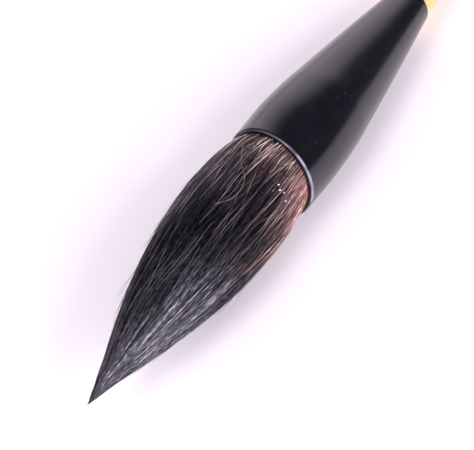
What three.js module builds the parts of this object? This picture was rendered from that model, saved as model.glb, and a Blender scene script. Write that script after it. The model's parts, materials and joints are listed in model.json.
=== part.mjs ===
// A large calligraphy brush, lying at rest on a table: a pointed tuft of three hair
// layers, bound and glued into a turned ferrule, with a hollow bamboo shaft and a tail cap.
// Millimetres, +Z up. The tip points to -Y and the tail to +Y. The origin is on the table,
// under the middle of the brush.
//
// Every sub-part is drawn along the brush's own axis, local +Y. A station is a place on that
// axis, counted from the ferrule's mouth: negative towards the tip, positive to the tail.

import * as THREE from 'three';

// Tuft
const TUFT_LENGTH = 75;
const TUFT_BELLY_RADIUS = 12.3;
const HAIR_ROOT_RADIUS = 9.9;
const HAIR_ROOT_NECK = 5;
const HAIR_ROOT_END = 15;

// Each hair layer: its outer and inner boundary, as a share of the tuft's width, with the
// length that the boundary reaches out of the ferrule.
const COVER_INSIDE = { width: 0.82, length: 62 };
const BELLY_OUTSIDE = { width: 0.785, length: 60.8 };
const BELLY_INSIDE = { width: 0.5, length: 46 };
const CORE_OUTSIDE = { width: 0.465, length: 44.8 };

// Root binding: a thread wound round the hair roots
const THREAD_DIAMETER = 0.6;
const THREAD_TURNS = 5;
const THREAD_START = 7.5;
const THREAD_PITCH = 1.1;
const THREAD_COIL_RADIUS = 10.5;

// Ferrule
const FERRULE_LENGTH = 72;
const FERRULE_BELLY_RADIUS = 12.3;
const FERRULE_TAIL_RADIUS = 5.95;
const LIP_RADIUS = 11.8;
const LIP_ROUND = 0.45;
const SOCKET_RADIUS = 11.1;
const SOCKET_DEPTH = 20;

// Joint between ferrule and shaft
const DOWEL_RADIUS = 3.1;
const DOWEL_LENGTH = 44;
const BORE_RADIUS = 3.4;
const BORE_DEPTH = 24;

// Shaft and tail cap
const SHAFT_RADIUS = 5.2;
const SHAFT_END_ROUND = 0.3;
const BRUSH_TAIL = 210;
const CAP_LENGTH = 14;
const CAP_RADIUS = 6.2;
const CAP_EDGE_ROUND = 1;
const CAP_END_WALL = 4;
const CORD_HOLE_RADIUS = 1.5;

// Clearance between neighbouring pieces
const GAP = 0.3;

// Sides of every turned piece: one flat faces straight down, so the brush doesn't roll.
const SIDES = 28;
const CURVE_STEPS = 4;

const MATERIALS = {
  coverHair: new THREE.MeshStandardMaterial({ color: 0x1d1a1f, roughness: 0.55, metalness: 0 }),
  innerHair: new THREE.MeshStandardMaterial({ color: 0x5a3a30, roughness: 0.7, metalness: 0 }),
  coreHair: new THREE.MeshStandardMaterial({ color: 0xcbb9a4, roughness: 0.7, metalness: 0 }),
  thread: new THREE.MeshStandardMaterial({ color: 0xd8cfc0, roughness: 0.8, metalness: 0 }),
  resin: new THREE.MeshStandardMaterial({ color: 0x6b3a17, roughness: 0.25, metalness: 0 }),
  glue: new THREE.MeshStandardMaterial({ color: 0xc9a45c, roughness: 0.35, metalness: 0 }),
  blackGloss: new THREE.MeshStandardMaterial({ color: 0x0a0b0f, roughness: 0.16, metalness: 0 }),
  bamboo: new THREE.MeshStandardMaterial({ color: 0xe6c98a, roughness: 0.4, metalness: 0 }),
  dowelWood: new THREE.MeshStandardMaterial({ color: 0xb98d5c, roughness: 0.65, metalness: 0 }),
};

function at(radius, station) {
  return new THREE.Vector2(radius, station);
}

// A smooth curve through its points, as points of an outline. Each given point stays on it.
function smooth(points) {
  return new THREE.SplineCurve(points).getPoints((points.length - 1) * CURVE_STEPS);
}

// A quarter-round corner of an outline, from one angle to another, in degrees.
function corner(radius, station, round, startAngle, endAngle) {
  const steps = 4;
  const points = [];
  for (let step = 0; step <= steps; step += 1) {
    const angle = THREE.MathUtils.degToRad(startAngle + (endAngle - startAngle) * step / steps);
    points.push(at(radius + round * Math.cos(angle), station + round * Math.sin(angle)));
  }
  return points;
}

// A piece turned about the brush's axis. Its outline runs along the outside towards the tail.
function turned(name, outline, material) {
  const mesh = new THREE.Mesh(new THREE.LatheGeometry(outline, SIDES, Math.PI / SIDES), material);
  mesh.name = name;
  return mesh;
}

// A plain disc between two stations.
function disc(name, radius, start, end, material) {
  return turned(name, [at(0, start), at(radius, start), at(radius, end), at(0, end)], material);
}

// One boundary of a hair layer, from its point on the axis to the root inside the ferrule.
function hairBoundary({ width, length }) {
  const belly = TUFT_BELLY_RADIUS * width;
  const root = HAIR_ROOT_RADIUS * width;
  const exposed = smooth([
    at(0, -length),
    at(0.19 * belly, -0.888 * length),
    at(0.6 * belly, -0.667 * length),
    at(0.895 * belly, -0.444 * length),
    at(belly, -0.227 * length),
    at(0.955 * belly, -0.07 * length),
    at(0.88 * belly, 0),
  ]);
  return [...exposed, at(root, HAIR_ROOT_NECK), at(root, HAIR_ROOT_END)];
}

// The cover layer forms the tuft's outside and its point.
function makeOuterHair() {
  const outside = hairBoundary({ width: 1, length: TUFT_LENGTH });
  const inside = hairBoundary(COVER_INSIDE).reverse();
  return turned('outer_hair', [...outside, ...inside], MATERIALS.coverHair);
}

// The second layer fills out the belly under the cover layer.
function makeBellyHair() {
  const outside = hairBoundary(BELLY_OUTSIDE);
  const inside = hairBoundary(BELLY_INSIDE).reverse();
  return turned('belly_hair', [...outside, ...inside], MATERIALS.innerHair);
}

// The stiffer core stands in the middle of the tuft.
function makeCoreHair() {
  const outline = [...hairBoundary(CORE_OUTSIDE), at(0, HAIR_ROOT_END)];
  return turned('core_hair', outline, MATERIALS.coreHair);
}

// The path of the binding thread's middle line.
class ThreadPath extends THREE.Curve {
  getPoint(t, target = new THREE.Vector3()) {
    const turn = t * THREAD_TURNS;
    const angle = turn * 2 * Math.PI;
    const station = THREAD_START + turn * THREAD_PITCH;
    const x = THREAD_COIL_RADIUS * Math.cos(angle);
    const z = THREAD_COIL_RADIUS * Math.sin(angle);
    return target.set(x, station, z);
  }
}

function makeRootBinding() {
  const section = new THREE.Shape();
  const sectionSides = 6;
  for (let side = 0; side < sectionSides; side += 1) {
    const angle = side / sectionSides * 2 * Math.PI;
    const across = THREAD_DIAMETER / 2 * Math.cos(angle);
    const along = THREAD_DIAMETER / 2 * Math.sin(angle);
    if (side === 0) section.moveTo(across, along);
    else section.lineTo(across, along);
  }
  section.closePath();
  const geometry = new THREE.ExtrudeGeometry(section, {
    extrudePath: new ThreadPath(),
    steps: THREAD_TURNS * SIDES,
    bevelEnabled: false,
  });
  const mesh = new THREE.Mesh(geometry, MATERIALS.thread);
  mesh.name = 'root_binding';
  return mesh;
}

// Resin seals the cut ends of the hair, and glue beds the bundle on the socket's floor.
const RESIN_START = HAIR_ROOT_END + GAP;
const RESIN_END = RESIN_START + 2;
const SOCKET_GLUE_START = RESIN_END + GAP;
const SOCKET_GLUE_END = SOCKET_DEPTH - GAP;

// The ferrule's outside, from the lip round to the tail end.
function ferruleOutside() {
  const lip = corner(LIP_RADIUS - LIP_ROUND, LIP_ROUND, LIP_ROUND, -90, 0);
  const body = smooth([
    at(12.05, 3),
    at(FERRULE_BELLY_RADIUS, 13),
    at(11.8, 23),
    at(10.9, 31),
    at(9.05, 47),
    at(FERRULE_TAIL_RADIUS, FERRULE_LENGTH - LIP_ROUND),
  ]);
  const tail = corner(FERRULE_TAIL_RADIUS - LIP_ROUND, FERRULE_LENGTH - LIP_ROUND, LIP_ROUND, 0, 90);
  return [...lip, ...body.slice(0, -1), ...tail];
}

// One turned piece with a blind socket for the hair and a blind bore for the dowel, so a
// solid web is left between the two.
function makeFerrule() {
  const boreFloor = FERRULE_LENGTH - BORE_DEPTH;
  const outline = [
    at(0, SOCKET_DEPTH),
    at(SOCKET_RADIUS, SOCKET_DEPTH),
    at(SOCKET_RADIUS, GAP),
    ...ferruleOutside(),
    at(BORE_RADIUS, FERRULE_LENGTH),
    at(BORE_RADIUS, boreFloor),
    at(0, boreFloor),
  ];
  return turned('ferrule', outline, MATERIALS.blackGloss);
}

// The dowel sits half in the ferrule's bore and half in the hollow shaft, on a bed of glue.
const TENON_GLUE_START = FERRULE_LENGTH - BORE_DEPTH + GAP;
const DOWEL_START = TENON_GLUE_START + 1.4 + GAP;

function makeTenonDowel() {
  const chamfer = 0.5;
  const end = DOWEL_START + DOWEL_LENGTH;
  const outline = [
    at(0, DOWEL_START),
    at(DOWEL_RADIUS - chamfer, DOWEL_START),
    at(DOWEL_RADIUS, DOWEL_START + chamfer),
    at(DOWEL_RADIUS, end - chamfer),
    at(DOWEL_RADIUS - chamfer, end),
    at(0, end),
  ];
  return turned('tenon_dowel', outline, MATERIALS.dowelWood);
}

// A hollow bamboo tube, open at both ends, butted against the ferrule.
function makeShaft() {
  const start = FERRULE_LENGTH + GAP;
  const end = BRUSH_TAIL - CAP_END_WALL - GAP;
  const outline = [
    at(BORE_RADIUS, start),
    at(SHAFT_RADIUS - SHAFT_END_ROUND, start),
    at(SHAFT_RADIUS, start + SHAFT_END_ROUND),
    at(SHAFT_RADIUS, end - SHAFT_END_ROUND),
    at(SHAFT_RADIUS - SHAFT_END_ROUND, end),
    at(BORE_RADIUS, end),
    at(BORE_RADIUS, start),
  ];
  return turned('shaft', outline, MATERIALS.bamboo);
}

// A cup over the shaft's end, with a hole for a hanging cord through its flat end wall.
function makeTailCap() {
  const cupRadius = SHAFT_RADIUS + GAP;
  const start = BRUSH_TAIL - CAP_LENGTH;
  const floor = BRUSH_TAIL - CAP_END_WALL;
  const edgeRadius = CAP_RADIUS - CAP_EDGE_ROUND;
  const outline = [
    at(cupRadius, floor),
    at(cupRadius, start),
    at(CAP_RADIUS - GAP, start),
    at(CAP_RADIUS, start + GAP),
    ...corner(edgeRadius, BRUSH_TAIL - CAP_EDGE_ROUND, CAP_EDGE_ROUND, 0, 90),
    at(CORD_HOLE_RADIUS, BRUSH_TAIL),
    at(CORD_HOLE_RADIUS, floor),
    at(cupRadius, floor),
  ];
  return turned('tail_cap', outline, MATERIALS.blackGloss);
}

// The brush rests on the ferrule's belly and on the tail cap, so its axis slopes down a
// little towards the tail: the steepest line from the cap's last full ring to the ferrule.
function restSlope() {
  const capRest = BRUSH_TAIL - CAP_EDGE_ROUND;
  const flat = Math.cos(Math.PI / SIDES);
  const slopes = ferruleOutside().map((ring) => flat * (ring.x - CAP_RADIUS) / (capRest - ring.y));
  return Math.atan(Math.max(...slopes));
}

const brush = new THREE.Group();
brush.add(
  makeOuterHair(),
  makeBellyHair(),
  makeCoreHair(),
  makeRootBinding(),
  disc('root_resin', HAIR_ROOT_RADIUS, RESIN_START, RESIN_END, MATERIALS.resin),
  disc('socket_glue', SOCKET_RADIUS - GAP, SOCKET_GLUE_START, SOCKET_GLUE_END, MATERIALS.glue),
  makeFerrule(),
  disc('tenon_glue', DOWEL_RADIUS, TENON_GLUE_START, DOWEL_START - GAP, MATERIALS.glue),
  makeTenonDowel(),
  makeShaft(),
  makeTailCap(),
);
brush.rotation.x = -restSlope();

// Stand the brush on Z = 0 and centre it over the origin.
const bounds = new THREE.Box3().setFromObject(brush, true);
brush.position.set(0, -(bounds.min.y + bounds.max.y) / 2, -bounds.min.z);

const part = new THREE.Group();
part.add(brush);

export default part;
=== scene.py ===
"""A calligraphy brush lying on a table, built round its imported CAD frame.

Every outline is in millimetres along the brush's own axis. A station is a place on that
axis, counted from the ferrule's mouth: negative towards the tip, positive to the tail.
"""

import json
import math

import bpy
import numpy as np
from mathutils import Matrix, Vector


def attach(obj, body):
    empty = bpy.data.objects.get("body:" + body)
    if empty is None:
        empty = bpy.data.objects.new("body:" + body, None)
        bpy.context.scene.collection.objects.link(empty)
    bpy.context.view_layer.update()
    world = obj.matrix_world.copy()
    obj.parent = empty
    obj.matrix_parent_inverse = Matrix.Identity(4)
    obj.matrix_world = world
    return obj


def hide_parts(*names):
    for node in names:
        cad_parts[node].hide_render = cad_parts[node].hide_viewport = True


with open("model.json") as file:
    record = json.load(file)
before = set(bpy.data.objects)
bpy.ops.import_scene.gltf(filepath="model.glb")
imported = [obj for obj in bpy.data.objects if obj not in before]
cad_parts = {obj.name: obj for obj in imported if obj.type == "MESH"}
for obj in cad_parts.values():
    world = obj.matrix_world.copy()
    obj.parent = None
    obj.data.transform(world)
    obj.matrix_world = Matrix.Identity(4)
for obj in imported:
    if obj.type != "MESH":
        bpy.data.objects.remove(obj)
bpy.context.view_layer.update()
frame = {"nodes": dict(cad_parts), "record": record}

MM = 0.001
TAU = 2 * math.pi
rng = np.random.default_rng(20)

# ---------------------------------------------------------------- the brush's own frame

BRUSH_TAIL = 210.0
TUFT_LENGTH = 75.0
TUFT_BELLY_RADIUS = 12.3
HAIR_ROOT_RADIUS = 9.9
HAIR_ROOT = 5.0
FERRULE_LENGTH = 72.0
SOCKET_RADIUS = 11.1
SOCKET_DEPTH = 20.0
BORE_RADIUS = 3.4
BORE_DEPTH = 24.0
SHAFT_RADIUS = 5.2
CAP_RADIUS = 6.2
CAP_LENGTH = 14.0
CAP_END_WALL = 4.0
CORD_HOLE_RADIUS = 1.5
GAP = 0.3
LEAN_ANGLE = math.radians(-24)
MOUTH_TILT = math.tan(math.radians(7))


def brush_frame():
    """The brush's axis as +Y, from the flat face on its tail end, with the mouth at zero."""
    face = next(m for m in frame["record"]["mounts"] if m["name"] == "tail_end_face")
    along = Vector(face["axis"]).normalized()
    across = Vector((1, 0, 0))
    up = across.cross(along)
    tail = Vector((0, face["pos_m"][1], face["pos_m"][2]))
    mouth = tail - along * BRUSH_TAIL * MM
    matrix = Matrix((across, along, up)).transposed().to_4x4()
    return Matrix.Translation(mouth) @ matrix


BRUSH = brush_frame()
MOUTH = BRUSH.translation

# ---------------------------------------------------------------- shader helpers


class Shader:
    """A node material with a Principled shader, and short calls for the nodes it uses."""

    def __init__(self, name):
        self.material = bpy.data.materials.new(name)
        self.material.use_nodes = True
        self.tree = self.material.node_tree
        self.tree.nodes.clear()
        self.surface = self.node("ShaderNodeBsdfPrincipled")
        output = self.node("ShaderNodeOutputMaterial")
        self.link(self.surface.outputs["BSDF"], output.inputs["Surface"])

    def node(self, kind, **settings):
        made = self.tree.nodes.new(kind)
        for key, value in settings.items():
            setattr(made, key, value)
        return made

    def link(self, source, target):
        self.tree.links.new(source, target)

    def set(self, **values):
        """Plain values of the Principled shader, by socket name with _ for a space."""
        for key, value in values.items():
            self.surface.inputs[key.replace("_", " ")].default_value = value

    def drive(self, socket, source):
        self.link(source, self.surface.inputs[socket])

    def place(self, scale=(1, 1, 1)):
        """The brush's own coordinates, in metres from the ferrule's mouth, stretched."""
        coordinates = self.node("ShaderNodeTexCoord")
        to_brush = BRUSH.inverted()
        local = self.node("ShaderNodeMapping")
        local.inputs["Location"].default_value = to_brush.translation
        local.inputs["Rotation"].default_value = to_brush.to_euler()
        stretch = self.node("ShaderNodeMapping")
        stretch.inputs["Scale"].default_value = scale
        self.link(coordinates.outputs["Object"], local.inputs["Vector"])
        self.link(local.outputs["Vector"], stretch.inputs["Vector"])
        return stretch.outputs["Vector"]

    def noise(self, vector, scale, detail=4.0, roughness=0.5, distortion=0.0):
        made = self.node("ShaderNodeTexNoise")
        made.inputs["Scale"].default_value = scale
        made.inputs["Detail"].default_value = detail
        made.inputs["Roughness"].default_value = roughness
        made.inputs["Distortion"].default_value = distortion
        self.link(vector, made.inputs["Vector"])
        return made.outputs["Fac"]

    def ramp(self, source, *stops):
        """A colour ramp: stops are (position, (r, g, b))."""
        made = self.node("ShaderNodeValToRGB")
        elements = made.color_ramp.elements
        while len(elements) < len(stops):
            elements.new(0.5)
        for element, (position, colour) in zip(elements, stops):
            element.position = position
            element.color = (*colour, 1)
        self.link(source, made.inputs["Fac"])
        return made.outputs["Color"]

    def remap(self, source, low, high, from_low=0.0, from_high=1.0):
        made = self.node("ShaderNodeMapRange")
        made.inputs["From Min"].default_value = from_low
        made.inputs["From Max"].default_value = from_high
        made.inputs["To Min"].default_value = low
        made.inputs["To Max"].default_value = high
        self.link(source, made.inputs["Value"])
        return made.outputs["Result"]

    def math(self, operation, first, second):
        made = self.node("ShaderNodeMath", operation=operation)
        for socket, value in zip(made.inputs, (first, second)):
            if isinstance(value, (int, float)):
                socket.default_value = value
            else:
                self.link(value, socket)
        return made.outputs["Value"]

    def mix(self, factor, first, second, blend="MIX"):
        made = self.node("ShaderNodeMix", data_type="RGBA", blend_type=blend)
        for socket, value in ((0, factor), (6, first), (7, second)):
            if isinstance(value, (int, float)):
                made.inputs[socket].default_value = value
            elif isinstance(value, tuple):
                made.inputs[socket].default_value = (*value, 1)
            else:
                self.link(value, made.inputs[socket])
        return made.outputs[2]

    def bump(self, height, distance, strength):
        made = self.node("ShaderNodeBump")
        made.inputs["Distance"].default_value = distance
        made.inputs["Strength"].default_value = strength
        self.link(height, made.inputs["Height"])
        self.drive("Normal", made.outputs["Normal"])


# ---------------------------------------------------------------- materials


GLOSS_DEEP = (0.0026, 0.0025, 0.0044)
GLOSS_NAVY = (0.0037, 0.0039, 0.0080)
DUST = (0.3, 0.3, 0.34)
DUST_STRENGTH = 0.13
# A painted highlight on the lip's crest: a lighter colour, wider and stronger on the side at +X, where
# the right softbox falls.
LIP_HIGHLIGHT = (0.30, 0.29, 0.36)
LIP_HIGHLIGHT_FROM = (-1, 11)  # mm across towards +X: no painted highlight at the first, full at the second
LIP_HIGHLIGHT_REACH = (0.45, 0.9)  # mm that the painted highlight reaches up the ferrule, at those places
LIP_HIGHLIGHT_FADE = 0.25
LIP_HIGHLIGHT_CREST = (0.08, 0.2)


def black_gloss():
    """Polished near-black resin, navy in the light, with dust, hairlines and a painted highlight along
    the lip's crest.
    """
    s = Shader("black_gloss")
    cloud = s.noise(s.place(), 170.0, detail=4.0)
    tint = s.ramp(cloud, (0.4, GLOSS_DEEP), (0.65, GLOSS_NAVY))
    specks = s.noise(s.place(), 1400.0, detail=1.0)
    dust = s.remap(specks, 0.0, 1.0, 0.73, 0.80)
    dusty = s.mix(s.math("MULTIPLY", dust, DUST_STRENGTH), tint, DUST)
    across = s.node("ShaderNodeSeparateXYZ")
    s.link(s.place(), across.inputs["Vector"])
    rise = s.node("ShaderNodeVectorMath", operation="DOT_PRODUCT")
    slope = (MOUTH_TILT * math.cos(LEAN_ANGLE), 1, MOUTH_TILT * math.sin(LEAN_ANGLE))
    rise.inputs[1].default_value = slope
    s.link(s.place(), rise.inputs[0])
    station = rise.outputs["Value"]
    # The lip's painted highlight grows from nothing to full across towards +X.
    side = s.remap(across.outputs["X"], 0.0, 1.0, LIP_HIGHLIGHT_FROM[0] * MM, LIP_HIGHLIGHT_FROM[1] * MM)
    edge = s.remap(side, LIP_HIGHLIGHT_REACH[0] * MM, LIP_HIGHLIGHT_REACH[1] * MM)
    inside = s.remap(s.math("SUBTRACT", edge, station), 0.0, 1.0, 0.0, LIP_HIGHLIGHT_FADE * MM)
    above = s.remap(station, 0.0, 1.0, LIP_HIGHLIGHT_CREST[0] * MM, LIP_HIGHLIGHT_CREST[1] * MM)
    crest = s.math("MULTIPLY", inside, above)
    patchy = s.remap(s.noise(s.place(), 300.0, detail=3.0), 0.25, 1.0, 0.35, 0.6)
    painted_highlight = s.math("MULTIPLY", crest, s.math("MULTIPLY", patchy, s.remap(side, 0.05, 1.0)))
    s.drive("Base Color", s.mix(painted_highlight, dusty, LIP_HIGHLIGHT))
    haze = s.noise(s.place((1, 0.3, 1)), 260.0, detail=5.0, roughness=0.7)
    s.drive("Roughness", s.remap(haze, 0.16, 0.24, 0.3, 0.7))
    scratch = s.noise(s.place((1, 0.05, 1)), 1500.0, detail=2.0)
    s.bump(scratch, 0.000004, 0.35)
    s.set(IOR=1.5)
    return s.material


BAMBOO_SHADE = (0.56, 0.36, 0.11)
BAMBOO_GOLD = (0.78, 0.56, 0.21)
BAMBOO_LIGHT = (0.86, 0.68, 0.31)
BAMBOO_AGED = (0.62, 0.36, 0.12)
BAMBOO_FLECK = (0.25, 0.13, 0.04)


def bamboo():
    """Golden polished bamboo: fine fibres along the tube, and darker flecks."""
    s = Shader("bamboo")
    fibres = s.noise(s.place((1, 0.02, 1)), 2600.0, detail=3.0)
    patches = s.noise(s.place((1, 0.12, 1)), 90.0, detail=3.0)
    golden = s.ramp(fibres, (0.3, BAMBOO_SHADE), (0.5, BAMBOO_GOLD), (0.75, BAMBOO_LIGHT))
    aged = s.mix(s.remap(patches, 0.0, 0.45, 0.45, 0.8), golden, BAMBOO_AGED)
    flecks = s.remap(s.noise(s.place((1, 0.06, 1)), 900.0, detail=0.0), 0.0, 0.8, 0.72, 0.76)
    s.drive("Base Color", s.mix(flecks, aged, BAMBOO_FLECK))
    s.drive("Roughness", s.remap(fibres, 0.24, 0.42, 0.3, 0.7))
    s.bump(fibres, 0.00003, 0.6)
    return s.material


def wood_dowel():
    """Plain softwood, with its grain along the dowel."""
    s = Shader("dowel_wood")
    rings = s.noise(s.place((1, 0.05, 1)), 1200.0, detail=4.0, distortion=0.6)
    s.drive("Base Color", s.ramp(rings, (0.3, (0.32, 0.17, 0.07)), (0.7, (0.55, 0.34, 0.16))))
    s.drive("Roughness", s.remap(rings, 0.5, 0.75))
    s.bump(rings, 0.00005, 0.6)
    return s.material


def cast_resin(name, dark, light):
    """Set rosin or glue: cloudy, with small bubbles."""
    s = Shader(name)
    cloud = s.noise(s.place(), 350.0, detail=4.0)
    s.drive("Base Color", s.ramp(cloud, (0.3, dark), (0.7, light)))
    s.drive("Roughness", s.remap(cloud, 0.18, 0.4))
    s.bump(s.noise(s.place(), 1500.0, detail=1.0), 0.00006, 0.5)
    return s.material


def thread():
    """Waxed thread, with its plies showing."""
    s = Shader("waxed_thread")
    plies = s.noise(s.place((1, 3, 1)), 1500.0, detail=2.0)
    s.drive("Base Color", s.ramp(plies, (0.3, (0.5, 0.43, 0.33)), (0.7, (0.75, 0.69, 0.58))))
    s.drive("Roughness", s.remap(plies, 0.6, 0.85))
    s.bump(plies, 0.00008, 0.8)
    return s.material


def packed_hair(name, dark, light):
    """The solid mass of hair under the separate strands: fine streaks along it."""
    s = Shader(name)
    streaks = s.noise(s.place((1, 0.03, 1)), 3500.0, detail=3.0)
    s.drive("Base Color", s.ramp(streaks, (0.35, dark), (0.7, light)))
    s.drive("Roughness", s.remap(streaks, 0.4, 0.6))
    s.bump(streaks, 0.00012, 0.9)
    return s.material


def hair_colour_and_sheen(s, along, contrast):
    """The colour that each hair carries along its length, broken by fine streaks: its own colour on the
    matte hair, a painted sheen on the glossy hair.
    """
    colour = s.node("ShaderNodeVertexColor", layer_name="hair_colour_and_sheen")
    fine = s.noise(s.place((1, along, 1)), 3000.0, detail=1.0)
    shade = s.ramp(fine, (0.4, (1 - contrast,) * 3), (0.6, (1 + contrast,) * 3))
    s.drive("Base Color", s.mix(1.0, colour.outputs["Color"], shade, blend="MULTIPLY"))


def matte_hair():
    """Single hairs that show mostly their own colour."""
    s = Shader("matte_hair")
    hair_colour_and_sheen(s, 0.018, 0.3)
    s.set(Roughness=0.42, IOR=1.46)
    return s.material


def glossy_hair():
    """Single waxy metallic hairs, whose colour is a painted sheen: bright where the light falls, almost
    black elsewhere.
    """
    s = Shader("glossy_hair")
    hair_colour_and_sheen(s, 0.16, 0.6)
    s.set(Metallic=1.0, Roughness=0.32)
    return s.material


# ---------------------------------------------------------------- mesh helpers


def smooth(points, steps=24):
    """A smooth curve through its points, as an outline."""
    knots = np.array(points, float)
    ends = np.vstack([2 * knots[0] - knots[1], knots, 2 * knots[-1] - knots[-2]])
    made = []
    for a, b, c, d in zip(ends, ends[1:], ends[2:], ends[3:]):
        for step in range(steps):
            t = step / steps
            made.append(
                0.5 * (2 * b + (c - a) * t + (2 * a - 5 * b + 4 * c - d) * t**2
                       + (3 * b - a - 3 * c + d) * t**3)
            )
    made.append(knots[-1])
    return [tuple(p) for p in made]


def corner(radius, station, size, start, end, steps=8):
    """A round corner of an outline about a centre, from one angle to another in degrees."""
    angles = np.radians(np.linspace(start, end, steps + 1))
    return [(radius + size * math.cos(a), station + size * math.sin(a)) for a in angles]


def step_up(x, low, high):
    """0 below low, 1 above high, and a smooth step between."""
    t = np.clip((x - low) / (high - low), 0, 1)
    return t * t * (3 - 2 * t)


TILT_ON_FERRULE = (1, 24)
TILT_ON_HAIR = (0, 18)
ON_AXIS = 1e-6
SHARP_ANGLE = math.radians(40)


def mouth_tilt(station):
    """The mouth isn't quite square to the axis: the slope at a station, fading both ways."""
    station = np.asarray(station, float)
    return MOUTH_TILT * (1 - step_up(station, *TILT_ON_FERRULE)) * (1 - step_up(-station, *TILT_ON_HAIR))


def add_object(name, mesh):
    """A piece of the brush, from a mesh in the brush's own frame."""
    mesh.transform(BRUSH)
    made = bpy.data.objects.new(name, mesh)
    bpy.context.scene.collection.objects.link(made)
    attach(made, "root")
    return made


def turned(name, outline, material, sides, aside=None):
    """A solid turned from an outline that closes on itself or ends on the axis.

    aside gives the distance of its centre from the axis at a station.
    """
    closed = outline[0] == outline[-1]
    rings = outline[:-1] if closed else outline
    vertices, index = [], []
    for radius, station in rings:
        shift = aside(station) * MM if aside else 0.0
        x, z = shift * math.cos(LEAN_ANGLE), shift * math.sin(LEAN_ANGLE)
        tilt = float(mouth_tilt(station))
        if radius < ON_AXIS:
            index.append([len(vertices)] * sides)
            vertices.append((x, station * MM, z))
            continue
        index.append(list(range(len(vertices), len(vertices) + sides)))
        for side in range(sides):
            angle = TAU * side / sides
            out, over = radius * MM * math.sin(angle), radius * MM * math.cos(angle)
            across = out * math.cos(LEAN_ANGLE) + over * math.sin(LEAN_ANGLE)
            vertices.append((x + out, station * MM - tilt * across, z + over))
    faces = []
    count = len(rings)
    for ring in range(count if closed else count - 1):
        low, high = index[ring], index[(ring + 1) % count]
        for side in range(sides):
            following = (side + 1) % sides
            face = (low[side], low[following], high[following], high[side])
            faces.append(tuple(dict.fromkeys(face)))
    mesh = bpy.data.meshes.new(name)
    mesh.from_pydata(vertices, [], faces)
    mesh.shade_smooth()
    mesh.set_sharp_from_angle(angle=SHARP_ANGLE)
    mesh.materials.append(material)
    return add_object(name, mesh)


# ---------------------------------------------------------------- ferrule, shaft and cap


LIP_CROWN = 0.8
LIP_CENTRE = (11.25, 0.71)
LIP_INNER = 0.12
FERRULE_BODY = [(12.08, 3), (12.3, 13), (11.8, 23), (10.9, 31), (9.05, 47), (5.95, 71.55)]
FERRULE_TAIL_ROUND = 0.45
SHAFT_CHAMFER = 0.3
SHAFT_RINGS = 60
CAP_MOUTH_CHAMFER = 0.15
CAP_MOUTH_ROUND = 0.3
CAP_TAIL_ROUND = 1
HOLE_ROUND = 0.3


def ferrule_outline():
    """The socket, the crowned lip, the trumpet-shaped body and the bore in its tail."""
    lip = [
        *corner(SOCKET_RADIUS + LIP_INNER, 0.16, LIP_INNER, -180, -65, steps=6),
        *corner(*LIP_CENTRE, LIP_CROWN, -62, -4, steps=24),
    ]
    body = smooth([lip[-1], *FERRULE_BODY])
    tail_radius, tail_station = FERRULE_BODY[-1]
    tail = corner(tail_radius - FERRULE_TAIL_ROUND, tail_station, FERRULE_TAIL_ROUND, 0, 90)
    bore = FERRULE_LENGTH - BORE_DEPTH
    return [
        (0, SOCKET_DEPTH), (SOCKET_RADIUS, SOCKET_DEPTH), (SOCKET_RADIUS, 2.0),
        *lip, *body[1:-1], *tail,
        (BORE_RADIUS, FERRULE_LENGTH), (BORE_RADIUS, bore), (0, bore),
    ]


def make_ferrule():
    made = turned("ferrule_turned", ferrule_outline(), MATERIALS["black_gloss"], sides=200)
    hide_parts("ferrule")


def make_shaft():
    """The bamboo tube, chamfered at both ends."""
    start = FERRULE_LENGTH + GAP
    end = BRUSH_TAIL - CAP_END_WALL - GAP
    rim = SHAFT_RADIUS - SHAFT_CHAMFER
    wall = np.linspace(start + SHAFT_CHAMFER, end - SHAFT_CHAMFER, SHAFT_RINGS + 1)
    outline = [
        (BORE_RADIUS, start), (rim, start),
        *((SHAFT_RADIUS, float(station)) for station in wall),
        (rim, end), (BORE_RADIUS, end), (BORE_RADIUS, start),
    ]
    made = turned("bamboo_tube", outline, MATERIALS["bamboo"], sides=128)
    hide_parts("shaft")


def make_tail_cap():
    """A cup over the end of the shaft, with a hole for the cord."""
    cup = SHAFT_RADIUS + GAP
    start, floor = BRUSH_TAIL - CAP_LENGTH, BRUSH_TAIL - CAP_END_WALL
    outline = [
        (cup, floor), (cup, start + CAP_MOUTH_CHAMFER), (cup + CAP_MOUTH_CHAMFER, start),
        *corner(CAP_RADIUS - CAP_MOUTH_ROUND, start + CAP_MOUTH_ROUND, CAP_MOUTH_ROUND, -90, 0),
        *corner(CAP_RADIUS - CAP_TAIL_ROUND, BRUSH_TAIL - CAP_TAIL_ROUND, CAP_TAIL_ROUND, 0, 90),
        *corner(CORD_HOLE_RADIUS + HOLE_ROUND, BRUSH_TAIL - HOLE_ROUND, HOLE_ROUND, 90, 180),
        (CORD_HOLE_RADIUS, floor), (cup, floor),
    ]
    made = turned("tail_cap_turned", outline, MATERIALS["black_gloss"], sides=128)
    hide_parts("tail_cap")


# ---------------------------------------------------------------- hair

STRAND_SIDES = 3
STRAND_POINTS = 13
UV_COLUMNS = 16


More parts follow.
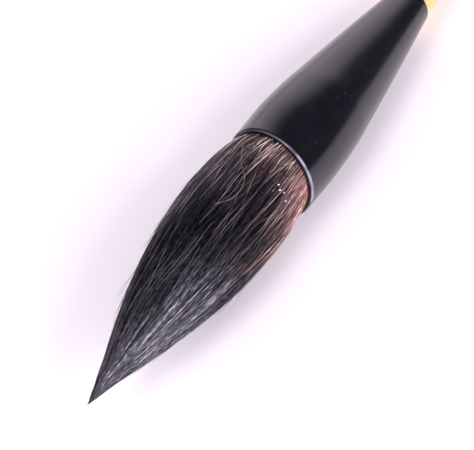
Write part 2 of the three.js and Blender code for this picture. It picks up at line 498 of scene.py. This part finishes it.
def strand_mesh(name, paths, radii, colours, material):
    """Closed, tapered strands, which stand for part of the cover hair.

    paths are (strand, point, xyz) in mm, radii (strand, point) and colours (strand, point, rgb).
    """
    count, points = radii.shape
    tangent = np.gradient(paths, axis=1)
    tangent /= np.linalg.norm(tangent, axis=2, keepdims=True)
    outward = paths * (1, 0, 1)
    outward /= np.maximum(np.linalg.norm(outward, axis=2, keepdims=True), 1e-9)
    side = np.cross(tangent, outward)
    side /= np.maximum(np.linalg.norm(side, axis=2, keepdims=True), 1e-9)
    outward = np.cross(side, tangent)
    angles = TAU * (np.arange(STRAND_SIDES) + 0.25) / STRAND_SIDES
    ring = outward[:, :, None] * np.cos(angles)[:, None] + side[:, :, None] * np.sin(angles)[:, None]
    vertices = (paths[:, :, None] + ring * radii[:, :, None, None]) * MM

    base = (np.arange(count) * points * STRAND_SIDES)[:, None, None]
    step = (np.arange(points - 1) * STRAND_SIDES)[None, :, None]
    edge = np.arange(STRAND_SIDES)[None, None, :]
    following = (edge + 1) % STRAND_SIDES
    a, b = base + step + edge, base + step + following
    quads = np.stack([a, b, b + STRAND_SIDES, a + STRAND_SIDES], axis=-1).reshape(-1, 4)
    first = (base[:, 0] + np.arange(STRAND_SIDES)[::-1]).reshape(-1, 3)
    last = (base[:, 0] + (points - 1) * STRAND_SIDES + np.arange(STRAND_SIDES)).reshape(-1, 3)
    loops = np.concatenate([quads.ravel(), first.ravel(), last.ravel()])
    starts = np.concatenate([
        np.arange(len(quads)) * 4,
        len(quads) * 4 + np.arange(len(first) + len(last)) * 3,
    ])

    mesh = bpy.data.meshes.new(name)
    mesh.vertices.add(vertices.size // 3)
    mesh.vertices.foreach_set("co", vertices.astype(np.float32).ravel())
    mesh.loops.add(len(loops))
    mesh.loops.foreach_set("vertex_index", loops.astype(np.int32))
    mesh.polygons.add(len(starts))
    mesh.polygons.foreach_set("loop_start", starts.astype(np.int32))

    # What each strand carries along it, for the hair materials.
    tint = mesh.color_attributes.new(name="hair_colour_and_sheen", type="FLOAT_COLOR", domain="POINT")
    rgba = np.ones((count, points, STRAND_SIDES, 4), np.float32)
    rgba[..., :3] = colours[:, :, None]
    tint.data.foreach_set("color", rgba.ravel())

    # Each strand has its own cell in the OFBake UV layer, with a margin round it.
    rows = math.ceil(count / UV_COLUMNS)
    column, row = np.arange(count) % UV_COLUMNS, np.arange(count) // UV_COLUMNS
    t = 0.02 + 0.96 * np.arange(points) / (points - 1)
    u = (column[:, None] + t[None]) / UV_COLUMNS
    u0, u1 = u[:, :-1, None], u[:, 1:, None]
    v0 = (row[:, None, None] + 0.05 + 0.9 * edge / STRAND_SIDES) / rows
    v1 = v0 + 0.9 / STRAND_SIDES / rows
    u0, u1, v0, v1 = np.broadcast_arrays(u0, u1, v0, v1)
    quad_uv = np.stack([u0, v0, u0, v1, u1, v1, u1, v0], axis=-1).reshape(-1, 2)
    cap_v = np.tile(np.array([0.1, 0.5, 0.9])[None], (count, 1))
    ends = []
    for place in (u[:, 0], u[:, -1]):
        cap_u = np.repeat(place[:, None], STRAND_SIDES, 1)
        ends.append(np.stack([cap_u, (row[:, None] + cap_v) / rows], axis=-1).reshape(-1, 2))
    uv = mesh.uv_layers.new(name="OFBake")
    uv.data.foreach_set("uv", np.concatenate([quad_uv, *ends]).astype(np.float32).ravel())

    mesh.update(calc_edges=True)
    mesh.shade_smooth()
    mesh.materials.append(MATERIALS[material])
    made = add_object(name, mesh)
    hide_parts("outer_hair")


ALONG = np.linspace(0, 1, STRAND_POINTS)[None]

TUFT = np.array(smooth([
    (0.0, -TUFT_LENGTH),
    (0.19 * TUFT_BELLY_RADIUS, -0.888 * TUFT_LENGTH),
    (0.60 * TUFT_BELLY_RADIUS, -0.667 * TUFT_LENGTH),
    (0.895 * TUFT_BELLY_RADIUS, -0.444 * TUFT_LENGTH),
    (TUFT_BELLY_RADIUS, -0.227 * TUFT_LENGTH),
    (0.955 * TUFT_BELLY_RADIUS, -0.07 * TUFT_LENGTH),
    (0.88 * TUFT_BELLY_RADIUS, 0.0),
    (HAIR_ROOT_RADIUS, HAIR_ROOT),
]))
BELLY_STATION = TUFT[TUFT[:, 0].argmax(), 1]


def tuft_radius(station):
    """The tuft's full radius in mm at a station."""
    return np.interp(station, TUFT[:, 1], TUFT[:, 0])


def end_station(share):
    """The station past the belly where the tuft has shrunk to this share of its full radius."""
    tip_side = TUFT[TUFT[:, 1] <= BELLY_STATION]
    return np.interp(share * TUFT_BELLY_RADIUS, tip_side[:, 0], tip_side[:, 1])


ROOT_LEAN = -0.5
TIP_LEAN = 1.8
DEEPEST = 0.35  # a strand is never further in than this share of the tuft's radius


def lean(station):
    """How far the tuft's middle line lies to one side, in mm: hair never sits quite straight."""
    along = np.clip(-np.asarray(station, float) / TUFT_LENGTH, 0, 1)
    return ROOT_LEAN * step_up(-np.asarray(station, float), -2, 6) + TIP_LEAN * along**2.2


def on_tuft(station, angle, depth):
    """Points under the tuft's surface by a depth in mm, moved with its lean."""
    full = tuft_radius(station)
    radius = np.maximum(full - np.minimum(depth, full * DEEPEST), 0.02)
    aside = lean(station)
    across = radius * np.cos(angle - LEAN_ANGLE)
    return np.stack([
        radius * np.cos(angle) + aside * math.cos(LEAN_ANGLE),
        station - mouth_tilt(station) * across,
        radius * np.sin(angle) + aside * math.sin(LEAN_ANGLE),
    ], axis=-1)


def blend(a, b, weight):
    """Colours a moved towards colour b by a weight for each point."""
    return a + (np.array(b) - a) * weight[..., None]


def spread(low, high, count):
    """One random number for each strand, ready to be combined with its points."""
    return rng.uniform(low, high, count)[:, None]


def scatter(sigma, count):
    """As spread, but normally distributed about zero."""
    return rng.normal(0, sigma, count)[:, None]


def streaks_and_glints(depth, count):
    """Lighter and darker stretches along each strand, about 1; on the glossy hair they are painted
    glints.
    """
    return 1 + depth * np.sin(spread(0, TAU, count) + spread(8, 24, count) * ALONG)


BLACK = (0.042, 0.040, 0.049)
# The colour of the painted sheen on the glossy hair.
PAINTED_SHEEN = (0.238, 0.234, 0.270)
DARK_BROWN = (0.050, 0.029, 0.026)
RED_BROWN = (0.135, 0.056, 0.048)
PINK_TAN = (0.62, 0.33, 0.29)
CREAM = (0.95, 0.80, 0.73)
RIGHT_SIDE = math.radians(-5)
BROWN_REACH = (-48, -4)
RED_REACH = (-54, -12)
TAN_REACH = (-52, -10)


def right_side(angle):
    """1 on the side at +X, where the pale hair reaches furthest, and 0 on the other side."""
    return step_up(np.cos(angle - RIGHT_SIDE), 0.5, 1.0)


def cover_colours(station, angle, luck):
    """Black hair that turns brown towards the mouth, and reddish tan on the side at +X."""
    side = right_side(angle)
    near = step_up(station, *BROWN_REACH)
    colours = np.array(BLACK) * (0.6 + 0.7 * luck)[..., None]
    brown = np.clip(near * 1.2 - 0.4 * luck + side * near * 0.6, 0, 1)
    colours = blend(colours, DARK_BROWN, brown * (1 - 0.3 * luck))
    red = np.clip(step_up(station, *RED_REACH) * side * 1.5 - luck * 0.9, 0, 1)
    colours = blend(colours, RED_BROWN, red)
    tan = np.clip(step_up(station, *TAN_REACH) * side * 1.8 - luck * 1.35 + 0.1 * side, 0, 1)
    return blend(colours, PINK_TAN, tan)


CLUMPS = 150
CLUMP_DRIFT = 0.05
CLUMP_SINK = 0.4
CLUMP_GROOVE = 0.45
COVER_STRANDS = 8000
COVER_PIECES = 4
COVER_ROOT = 3.0
COVER_RADII = (0.045, 0.075)
COVER_STREAKS = 0.35


def make_cover_hair():
    """The whole outside of the tuft: hairs gathered in clumps that tighten towards the tip."""
    count = COVER_STRANDS
    angle = rng.uniform(0, TAU, count)
    width = TAU / CLUMPS
    clump = np.floor(angle / width).astype(int) % CLUMPS
    centre = ((clump + 0.5) * width)[:, None]
    offset = angle[:, None] - centre
    drift = rng.normal(0, CLUMP_DRIFT, CLUMPS)[clump][:, None]
    sink = rng.uniform(0.0, CLUMP_SINK, CLUMPS)[clump][:, None]
    end = end_station(rng.uniform(0.0, 0.98, count) ** 1.15)[:, None]
    station = COVER_ROOT + (end - COVER_ROOT) * ALONG
    travel = step_up(-station, 0, TUFT_LENGTH)
    pinch = 0.1 + 0.75 * step_up(-station, 10, 65)
    wave = scatter(0.012, count) * np.sin(spread(0, TAU, count) + 9 * ALONG)
    phi = centre + offset * (1 - pinch) + (drift + scatter(0.045, count)) * travel + wave
    groove = CLUMP_GROOVE * (2 * offset / width) ** 2 * step_up(-station, 0, 20)
    depth = rng.exponential(0.22, count)[:, None] + sink * step_up(-station, 0, 15) + groove
    luck = spread(0, 1, count) * np.ones_like(station)
    colours = cover_colours(station, phi, luck) * streaks_and_glints(COVER_STREAKS, count)[..., None]
    radii = spread(*COVER_RADII, count) * (1 - 0.75 * ALONG**2)
    paths = on_tuft(station, phi, depth)
    order = np.argsort(angle)
    for number, part in enumerate(np.array_split(order, COVER_PIECES), start=1):
        strand_mesh(f"cover_hair_{number}", paths[part], radii[part], colours[part], "matte_hair")


GLOSSY_STRANDS = 2600
SHEEN_SIDE = math.radians(7)
GLOSSY_ROOT = 2.0
GLOSSY_RADII = (0.05, 0.085)
GLOSSY_PAINTED_GLINTS = 0.75
SHEEN_OFF_SIDE = 0.13
SHEEN_START = 28  # mm from the mouth, and 15 mm less on the side at +X
SHEEN_EARLIER = 15
SHEEN_FULL = 60
SHEEN_LUCK = (0.9, 1.3)
SHEEN_LEAST = (0.15, 0.03)  # where no sheen shows, and in full sheen
SHEEN_MOST = 3.2


def make_glossy_hair():
    """Waxy hairs in the top of the cover layer, crossing each other slightly.

    On the side at +X, where the right softbox falls, a silver sheen is painted into their colour towards
    the tip. The others stay almost black.
    """
    count = GLOSSY_STRANDS
    angle = (np.arange(count)[:, None] + spread(-1, 1, count)) * TAU / count
    end = end_station(rng.uniform(0.0, 0.95, count))[:, None]
    station = GLOSSY_ROOT + (end - GLOSSY_ROOT) * ALONG
    full = np.maximum(tuft_radius(station), 1.5)
    swing = scatter(0.35, count) * np.sin(spread(0, TAU, count) + spread(4, 11, count) * ALONG)
    phi = angle + swing / full + scatter(0.05, count) * ALONG
    depth = spread(0.0, 0.45, count)
    # The painted sheen: bright on the side at +X, where the right softbox falls, and growing towards the
    # tip.
    lit = SHEEN_OFF_SIDE + (1 - SHEEN_OFF_SIDE) * step_up(np.cos(phi - SHEEN_SIDE), 0.16, 0.6)
    start = SHEEN_START - SHEEN_EARLIER * right_side(phi)
    painted_sheen = step_up(-station, start, SHEEN_FULL) * lit
    strength = rng.gamma(*SHEEN_LUCK, count)[:, None] * painted_sheen
    strength = strength * (1 + 1.1 * step_up(-station, 50, 70))
    strength = strength * (1 - 0.45 * right_side(phi) * step_up(-station, 40, 55))
    strength = strength * streaks_and_glints(GLOSSY_PAINTED_GLINTS, count)
    least = SHEEN_LEAST[0] + (SHEEN_LEAST[1] - SHEEN_LEAST[0]) * painted_sheen
    colours = np.array(PAINTED_SHEEN) * np.clip(strength, least, SHEEN_MOST)[..., None]
    radii = spread(*GLOSSY_RADII, count) * (1 - 0.6 * ALONG**2)
    strand_mesh("glossy_hair", on_tuft(station, phi, depth), radii, colours, "glossy_hair")


PALE_STRANDS = 760
PALE_ROOT = 2.0
PALE_RADII = (0.035, 0.055)
PALE_STREAKS = 0.3
PALE_MEAN = 5.0
PALE_MOST = 16
PALE_MORE_RIGHT = 14
PALE_REACH = 60


def make_pale_hair():
    """Pale-rooted hairs round the mouth, which fade to black and cross at small angles."""
    count = PALE_STRANDS
    angle = (np.arange(count)[:, None] + spread(-1, 1, count)) * TAU / count
    side = right_side(angle)
    pale_length = np.minimum(rng.exponential(PALE_MEAN, count), PALE_MOST)[:, None] + 2
    pale_length = pale_length + PALE_MORE_RIGHT * side * spread(0, 1, count)
    reach = np.minimum(pale_length + spread(6, 22, count), PALE_REACH)
    station = PALE_ROOT - (reach + PALE_ROOT) * ALONG
    full = tuft_radius(station)
    slant = scatter(0.08, count) * (reach + PALE_ROOT) * ALONG
    swing = scatter(0.25, count) * np.sin(spread(0, TAU, count) + spread(3, 8, count) * ALONG)
    phi = angle + (slant + swing) / full
    depth = spread(-0.32, 0.25, count) * step_up(-station, -2, 3)
    paleness = step_up(-station, pale_length + 6, pale_length - 2)
    luck = spread(0, 1, count)
    pink = step_up(luck + 0.5 * side, 0.35, 0.75)
    bright = blend(np.ones((count, 1, 3)) * np.array(RED_BROWN), PINK_TAN, pink)
    bright = blend(bright, CREAM, step_up(luck, 0.6, 0.85))
    bright = bright * (0.35 + 1.25 * luck**2 + 0.4 * side)[..., None]
    colours = np.array(BLACK) + (bright - np.array(BLACK)) * paleness[..., None]
    colours = colours * streaks_and_glints(PALE_STREAKS, count)[..., None]
    radii = spread(*PALE_RADII, count) * (1 - 0.5 * ALONG**2)
    strand_mesh("pale_hair", on_tuft(station, phi, depth), radii, colours, "matte_hair")


STRAY_STRANDS = 480
STRAY_LAST_ROOT = -66
STRAY_LENGTH = (5, 16)
STRAY_RADII = (0.03, 0.05)
STRAY_LIFT = 0.5
STRAY_MOST_LIFT = 2.6


def make_stray_hair():
    """Loose hairs that lift off the surface or lie across the others."""
    count = STRAY_STRANDS
    angle = spread(0, TAU, count)
    root = STRAY_LAST_ROOT * spread(0, 1, count) ** 1.2
    length = np.minimum(spread(*STRAY_LENGTH, count), TUFT_LENGTH - 1 + root)
    station = root - length * ALONG
    full = np.maximum(tuft_radius(station), 1.0)
    phi = angle + scatter(0.09, count) * length * ALONG / full
    lift = np.minimum(rng.exponential(STRAY_LIFT, count), STRAY_MOST_LIFT)[:, None] * ALONG**1.6
    lift = lift * step_up(np.sin(phi), -1.0, -0.4)  # those underneath stay above the table
    lift = lift * (1 - 0.8 * step_up(-station, 45, 70))
    depth = 0.1 - lift - 0.12 * np.sin(math.pi * ALONG)
    tone = spread(0.0, 1.0, count) ** 2
    warm = tone * (0.08 + 0.4 * step_up(station, -40, -10))
    colours = blend(np.ones(station.shape + (3,)) * np.array(BLACK) * 3, CREAM, warm)
    radii = spread(*STRAY_RADII, count) * (1 - 0.6 * ALONG**2)
    strand_mesh("stray_hair", on_tuft(station, phi, depth), radii, colours, "matte_hair")


CURLY_HAIR = [(-4.5, 114), (-8.2, 103), (-11.2, 95), (-14.5, 81), (-18, 76), (-21.8, 79), (-24.5, 88)]
CURLY_RADIUS = 0.035
CURLY_LIFT = 0.42


def make_curly_hair():
    """One pale hair that wanders across the others: a station and an angle at each bend."""
    route = np.array(smooth(CURLY_HAIR, steps=2))
    route = route[np.linspace(0, len(route) - 1, STRAND_POINTS).astype(int)]
    station, angle = route[None, :, 0], np.radians(route[None, :, 1])
    colours = np.ones((1, STRAND_POINTS, 3)) * np.array(CREAM) * 0.5
    radii = np.full((1, STRAND_POINTS), CURLY_RADIUS)
    strand_mesh("curly_hair", on_tuft(station, angle, -CURLY_LIFT), radii, colours, "matte_hair")


WHITE_SPECKS = [(-9.7, 49.0, 0.19), (-10.4, 44.6, 0.20), (-9.8, 39.4, 0.19), (-10.8, 32.4, 0.20)]
SPECK_LENGTH = 0.6
SPECK_LIFT = 0.8


def make_white_specks():
    """Four white specks on the hair: a station, an angle and a radius each."""
    station, angle, size = (np.array(column)[:, None] for column in zip(*WHITE_SPECKS))
    shape = np.sin(math.pi * (0.08 + 0.84 * ALONG))
    paths = on_tuft(station - SPECK_LENGTH * ALONG, np.radians(angle) + 0.03 * ALONG, -SPECK_LIFT)
    colours = np.ones((len(WHITE_SPECKS), STRAND_POINTS, 3)) * 0.95
    strand_mesh("white_specks", paths, size * shape, colours, "matte_hair")


MASS_INSET = 0.6
MASS_TIP = -TUFT_LENGTH + 1.5
MASS_LAST_FREE = 3.5
MASS_ROOT_RADIUS = HAIR_ROOT_RADIUS - 0.1
MASS_ROOT_END = 15.0


def make_hair_mass():
    """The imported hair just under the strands."""
    inset = [(r - MASS_INSET, s) for r, s in TUFT if s <= MASS_LAST_FREE]
    outline = [(0.0, MASS_TIP), *[(r, s) for r, s in inset if r > 0 and s > MASS_TIP]]
    outline += [(MASS_ROOT_RADIUS, HAIR_ROOT), (MASS_ROOT_RADIUS, MASS_ROOT_END), (0.0, MASS_ROOT_END)]
    made = turned("packed_hair", outline, MATERIALS["packed_hair"], sides=180, aside=lean)
    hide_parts("outer_hair")


# ---------------------------------------------------------------- camera, lights and table

CAMERA_AZIMUTH = 31.35
CAMERA_ELEVATION = 50.1
CAMERA_DISTANCE = 0.320
CAMERA_LENS = 104.0
SENSOR_WIDTH = 36
AIM_LEFT = 0.00765
AIM_UP = 0.0119


def view_axes(azimuth, elevation):
    """The camera's right, up and backward directions, with no roll."""
    a, e = math.radians(azimuth), math.radians(elevation)
    back = Vector((math.sin(a) * math.cos(e), -math.cos(a) * math.cos(e), math.sin(e)))
    right = Vector((math.cos(a), math.sin(a), 0))
    return right, back.cross(right), back


def add_camera():
    """The photograph's view, aimed a little to the lower left of the ferrule's mouth."""
    right, up, back = view_axes(CAMERA_AZIMUTH, CAMERA_ELEVATION)
    data = bpy.data.cameras.new("camera")
    data.lens = CAMERA_LENS
    data.sensor_width = SENSOR_WIDTH
    data.clip_start = 0.01
    camera = bpy.data.objects.new("camera", data)
    bpy.context.scene.collection.objects.link(camera)
    turn = Matrix((right, up, back)).transposed()
    place = MOUTH - right * AIM_LEFT - up * AIM_UP + back * CAMERA_DISTANCE
    camera.matrix_world = Matrix.Translation(place) @ turn.to_4x4()
    bpy.context.scene.camera = camera


TABLE_HALF = 3.0
TABLE_PALE = (0.945, 0.910, 0.910)
TABLE_SOFT = (0.925, 0.890, 0.890)
TABLE_PAINTED_SHADE = (0.74, 0.72, 0.73)
TABLE_FADE = (0.07, 0.28)


def add_table():
    """A pale table, with painted shade that darkens it far off on the side at +X, where the light falls
    off.
    """
    mesh = bpy.data.meshes.new("table")
    corners = [(x * TABLE_HALF, y * TABLE_HALF, 0) for x, y in ((-1, -1), (1, -1), (1, 1), (-1, 1))]
    mesh.from_pydata(corners, [], [(0, 1, 2, 3)])
    s = Shader("table_white")
    fine = s.noise(s.place(), 40.0, detail=2.0)
    near = s.ramp(fine, (0.3, TABLE_SOFT), (0.7, TABLE_PALE))
    across = s.node("ShaderNodeSeparateXYZ")
    s.link(s.place(), across.inputs["Vector"])
    # Painted shade: the table darkens far off towards +X, standing in for the light falling off.
    painted_falloff = s.remap(across.outputs["X"], 0.0, 1.0, *TABLE_FADE)
    s.drive("Base Color", s.mix(painted_falloff, near, TABLE_PAINTED_SHADE))
    s.set(Roughness=0.6, Specular_IOR_Level=0.1)
    mesh.materials.append(s.material)
    table = bpy.data.objects.new("table_floor", mesh)
    bpy.context.scene.collection.objects.link(table)


SKY = 0.13
FRONT_GLOW = 1.15
WALL_GLOW = 1.55
WALL_AZIMUTH = math.radians(27)
WALL_EDGE = (0.68, 0.90)
WALL_END = (-0.98, -0.88)
FRONT_EDGE = (-0.1, 0.3)
STUDIO_COLOUR = (0.95, 0.86, 1.0, 1)
BACKDROP_COLOUR = (1.0, 0.98, 1.0, 1)


def add_world():
    """A dim studio, with a bright front and a pale wall behind the brush to the left."""
    world = bpy.data.worlds.new("studio")
    bpy.context.scene.world = world
    world.use_nodes = True
    tree = world.node_tree
    tree.nodes.clear()

    def node(kind, **settings):
        made = tree.nodes.new(kind)
        for key, value in settings.items():
            setattr(made, key, value)
        return made

    def glow(source, start, full, radiance):
        made = node("ShaderNodeMapRange", interpolation_type="SMOOTHSTEP")
        made.inputs["From Min"].default_value = start
        made.inputs["From Max"].default_value = full
        made.inputs["To Max"].default_value = radiance
        tree.links.new(source, made.inputs["Value"])
        return made.outputs["Result"]

    def combine(operation, first, second):
        made = node("ShaderNodeMath", operation=operation)
        tree.links.new(first, made.inputs[0])
        if isinstance(second, float):
            made.inputs[1].default_value = second
        else:
            tree.links.new(second, made.inputs[1])
        return made.outputs["Value"]

    direction = node("ShaderNodeTexCoord").outputs["Generated"]
    split = node("ShaderNodeSeparateXYZ")
    tree.links.new(direction, split.inputs["Vector"])
    towards_wall = node("ShaderNodeVectorMath", operation="DOT_PRODUCT")
    towards_wall.inputs[1].default_value = (-math.sin(WALL_AZIMUTH), math.cos(WALL_AZIMUTH), 0)
    tree.links.new(direction, towards_wall.inputs[0])
    wall = glow(towards_wall.outputs["Value"], *WALL_EDGE, WALL_GLOW)
    wall = combine("MULTIPLY", wall, glow(split.outputs["X"], *WALL_END, 1.0))
    front = glow(combine("MULTIPLY", split.outputs["Y"], -1.0), *FRONT_EDGE, FRONT_GLOW)
    total = combine("ADD", combine("ADD", wall, front), SKY)

    studio = node("ShaderNodeBackground")
    studio.inputs["Color"].default_value = STUDIO_COLOUR
    tree.links.new(total, studio.inputs["Strength"])
    seen = node("ShaderNodeBackground")
    seen.inputs["Color"].default_value = BACKDROP_COLOUR
    choose = node("ShaderNodeMixShader")
    rays = node("ShaderNodeLightPath")
    tree.links.new(rays.outputs["Is Camera Ray"], choose.inputs["Fac"])
    tree.links.new(studio.outputs["Background"], choose.inputs[1])
    tree.links.new(seen.outputs["Background"], choose.inputs[2])
    output = node("ShaderNodeOutputWorld")
    tree.links.new(choose.outputs["Shader"], output.inputs["Surface"])


def add_softbox(name, azimuth, elevation, distance, size, radiance, colour):
    """An area light that faces the mouth, from an azimuth turned from +Y towards -X."""
    a, e = math.radians(azimuth), math.radians(elevation)
    direction = Vector((-math.sin(a) * math.cos(e), math.cos(a) * math.cos(e), math.sin(e)))
    data = bpy.data.lights.new(name, "AREA")
    data.shape = "RECTANGLE"
    data.size, data.size_y = size
    data.energy = radiance * math.pi * size[0] * size[1]
    data.color = colour
    light = bpy.data.objects.new(name, data)
    bpy.context.scene.collection.objects.link(light)
    light.location = MOUTH + direction * distance
    light.rotation_mode = "QUATERNION"
    light.rotation_quaternion = (-direction).to_track_quat("-Z", "Y")


def add_lights():
    """Three softboxes: an azimuth and elevation in degrees, a distance and a size in metres."""
    add_softbox("right_softbox", -88, 32, 0.75, (0.30, 0.50), 10.5, (0.94, 0.90, 1.0))
    add_softbox("front_softbox", 172, 52, 0.9, (0.30, 0.30), 10.0, (0.96, 0.93, 1.0))
    add_softbox("left_softbox", 132, 36, 0.9, (0.40, 0.40), 2.4, (0.93, 0.94, 1.0))
    bpy.context.scene.view_settings.view_transform = "Standard"


# ---------------------------------------------------------------- assembly

MATERIALS = {
    "black_gloss": black_gloss(),
    "bamboo": bamboo(),
    "dowel_wood": wood_dowel(),
    "resin": cast_resin("rosin", (0.12, 0.04, 0.01), (0.3, 0.12, 0.03)),
    "glue": cast_resin("set_glue", (0.42, 0.27, 0.09), (0.62, 0.45, 0.2)),
    "thread": thread(),
    "inner_hair": packed_hair("inner_hair", (0.05, 0.025, 0.018), (0.16, 0.09, 0.065)),
    "core_hair": packed_hair("core_hair", (0.32, 0.24, 0.17), (0.62, 0.52, 0.41)),
    "packed_hair": packed_hair("packed_hair", (0.045, 0.042, 0.052), (0.110, 0.100, 0.118)),
    "matte_hair": matte_hair(),
    "glossy_hair": glossy_hair(),
}

CARRIED_NODES = {
    "belly_hair": "inner_hair",
    "core_hair": "core_hair",
    "root_binding": "thread",
    "root_resin": "resin",
    "socket_glue": "glue",
    "tenon_glue": "glue",
    "tenon_dowel": "dowel_wood",
}


def dress_carried_nodes():
    """The CAD pieces that stay, each with its own material."""
    for node, material in CARRIED_NODES.items():
        mesh = frame["nodes"][node].data
        mesh.materials.clear()
        mesh.materials.append(MATERIALS[material])


add_camera()
add_world()
add_lights()
add_table()
make_ferrule()
make_shaft()
make_tail_cap()
make_hair_mass()
make_cover_hair()
make_glossy_hair()
make_pale_hair()
make_stray_hair()
make_curly_hair()
make_white_specks()
dress_carried_nodes()
